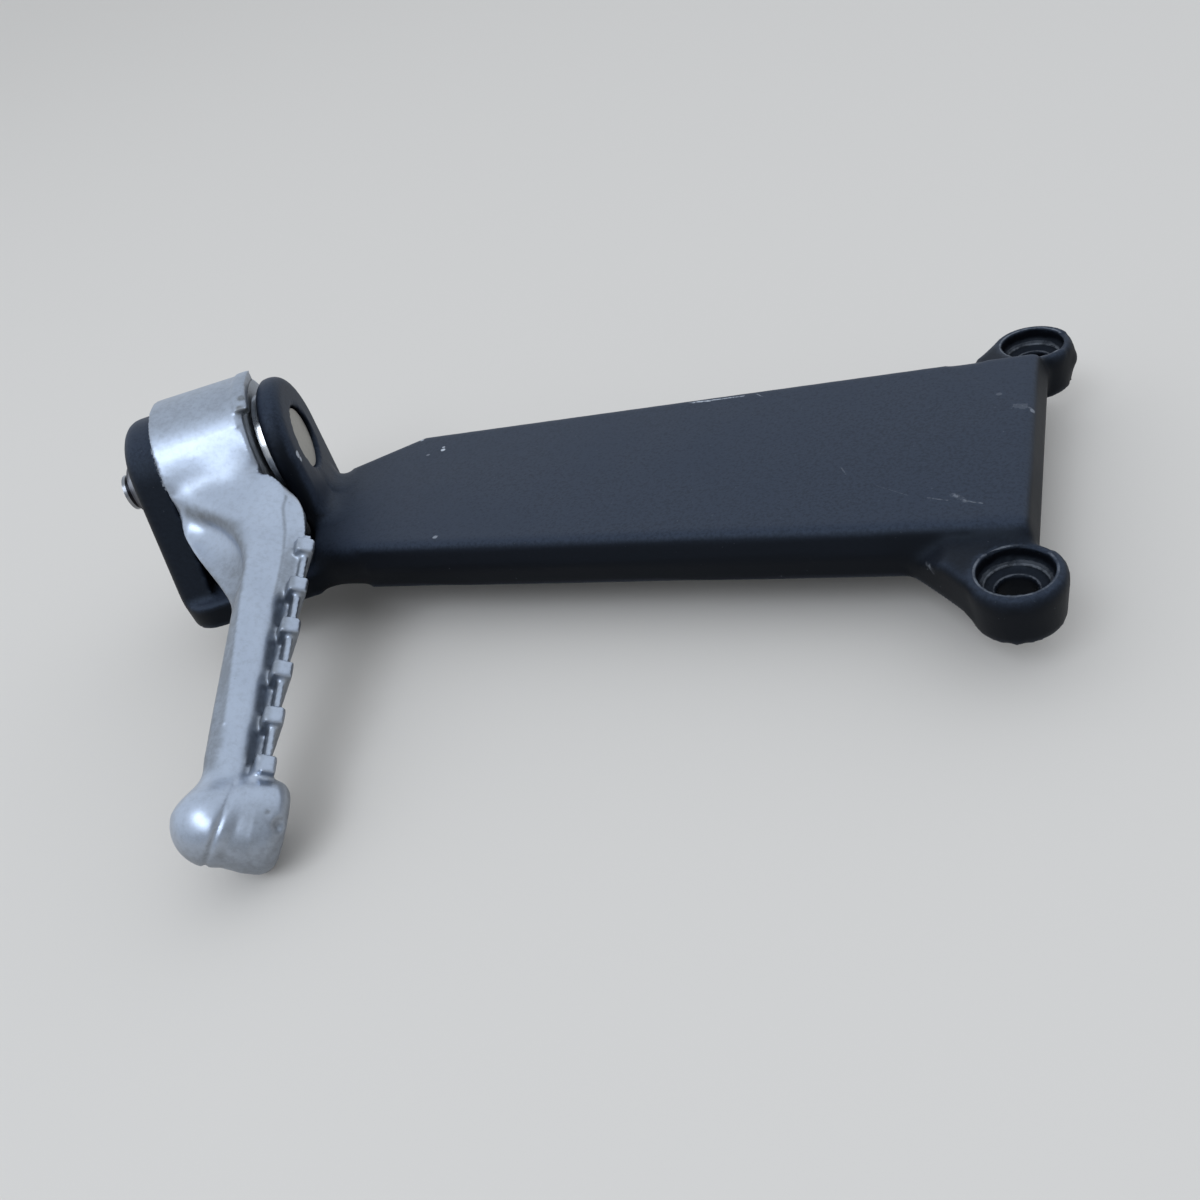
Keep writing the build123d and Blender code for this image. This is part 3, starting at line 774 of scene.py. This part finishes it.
studio = {
    "floorColour": (0.645, 0.606, 0.558, 1),
    "floorSize": 80.0,
    "roomColour": (0.90, 0.97, 1.06, 1),
    "dimSide": 0.50,  # the room low down on the camera's side
    "brightSide": 0.95,  # the room above and behind
    "brightTowards": (-0.35, 0.45, 0.82),
    "brightBetween": (-0.3, 0.6),  # how far towards it the room turns from dim to bright
    "lampColour": (0.86, 0.95, 1.08),
    "lampPower": 15.0,
    "lampSize": (1.75, 0.85),
    "lampDistance": 2.2,
    "lampFrom": Vector((-0.057, -0.632, 0.773)).normalized(),
    "lampAcross": Vector((0.665, -0.385, -0.265)),  # its long side
    "aimedAt": Vector((-0.12, -0.04, 0.02)),
}


def makeFloor():
    bm = bmesh.new()
    bmesh.ops.create_grid(bm, x_segments=1, y_segments=1, size=studio["floorSize"] / 2)
    bmesh.ops.translate(bm, verts=bm.verts, vec=(0, 0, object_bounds()[0][2]))
    mesh = bpy.data.meshes.new("floor")
    bm.to_mesh(mesh)
    bm.free()
    floor = meshObject("floor", mesh)
    material, shader = newMaterial("floorPaper")
    shader.inputs["Base Color"].default_value = studio["floorColour"]
    shader.inputs["Roughness"].default_value = 0.9
    shader.inputs["Specular IOR Level"].default_value = 0.1
    dress(floor, material)


# the room is brighter above and behind the object
def makeWorld():
    world = bpy.data.worlds.new("studio")
    world.use_nodes = True
    tree = world.node_tree
    tree.nodes.clear()
    output = tree.nodes.new("ShaderNodeOutputWorld")
    direction = tree.nodes.new("ShaderNodeTexCoord").outputs["Generated"]
    facing = tree.nodes.new("ShaderNodeVectorMath")
    facing.operation = "DOT_PRODUCT"
    facing.inputs[1].default_value = studio["brightTowards"]
    tree.links.new(direction, facing.inputs[0])
    level = tree.nodes.new("ShaderNodeMapRange")
    level.interpolation_type = "SMOOTHSTEP"
    tree.links.new(facing.outputs["Value"], level.inputs["Value"])
    low, high = studio["brightBetween"]
    level.inputs["From Min"].default_value = low
    level.inputs["From Max"].default_value = high
    level.inputs["To Min"].default_value = studio["dimSide"]
    level.inputs["To Max"].default_value = studio["brightSide"]
    room = tree.nodes.new("ShaderNodeBackground")
    room.inputs["Color"].default_value = studio["roomColour"]
    tree.links.new(level.outputs["Result"], room.inputs["Strength"])
    tree.links.new(room.outputs[0], output.inputs[0])
    scene.world = world


def makeLamp():
    light = bpy.data.lights.new("softLamp", "AREA")
    light.shape = "RECTANGLE"
    light.size, light.size_y = studio["lampSize"]
    light.energy = studio["lampPower"]
    light.color = studio["lampColour"]
    lamp = bpy.data.objects.new("softLamp", light)
    scene.collection.objects.link(lamp)
    back = studio["lampFrom"]
    across = (studio["lampAcross"] - back * studio["lampAcross"].dot(back)).normalized()
    turn = Matrix((across, back.cross(across), back)).transposed().to_4x4()
    lamp.matrix_world = Matrix.Translation(studio["aimedAt"] + back * studio["lampDistance"]) @ turn


photoView = {
    "lens": 33,
    "sensor": 36,
    "shift": -100 / 1200,  # the photograph is cropped off its lens's axis
    "clipStart": 0.01,
    "place": (0.0174, -0.2287, 0.15774),
    "right": Vector((0.9375, 0.2523, -0.2396)),
    "up": Vector((0.0199, 0.6487, 0.7607)),
    "back": Vector((0.3473, -0.7180, 0.6032)),
}


def makeCamera():
    camera = bpy.data.cameras.new("camera")
    camera.lens = photoView["lens"]
    camera.sensor_width = photoView["sensor"]
    camera.shift_x = photoView["shift"]
    camera.clip_start = photoView["clipStart"]
    holder = bpy.data.objects.new("camera", camera)
    scene.collection.objects.link(holder)
    turn = Matrix((photoView["right"], photoView["up"], photoView["back"])).transposed().to_4x4()
    holder.matrix_world = Matrix.Translation(photoView["place"]) @ turn
    scene.camera = holder


makeFloor()
makeWorld()
makeLamp()
makeCamera()
print("studio ready")
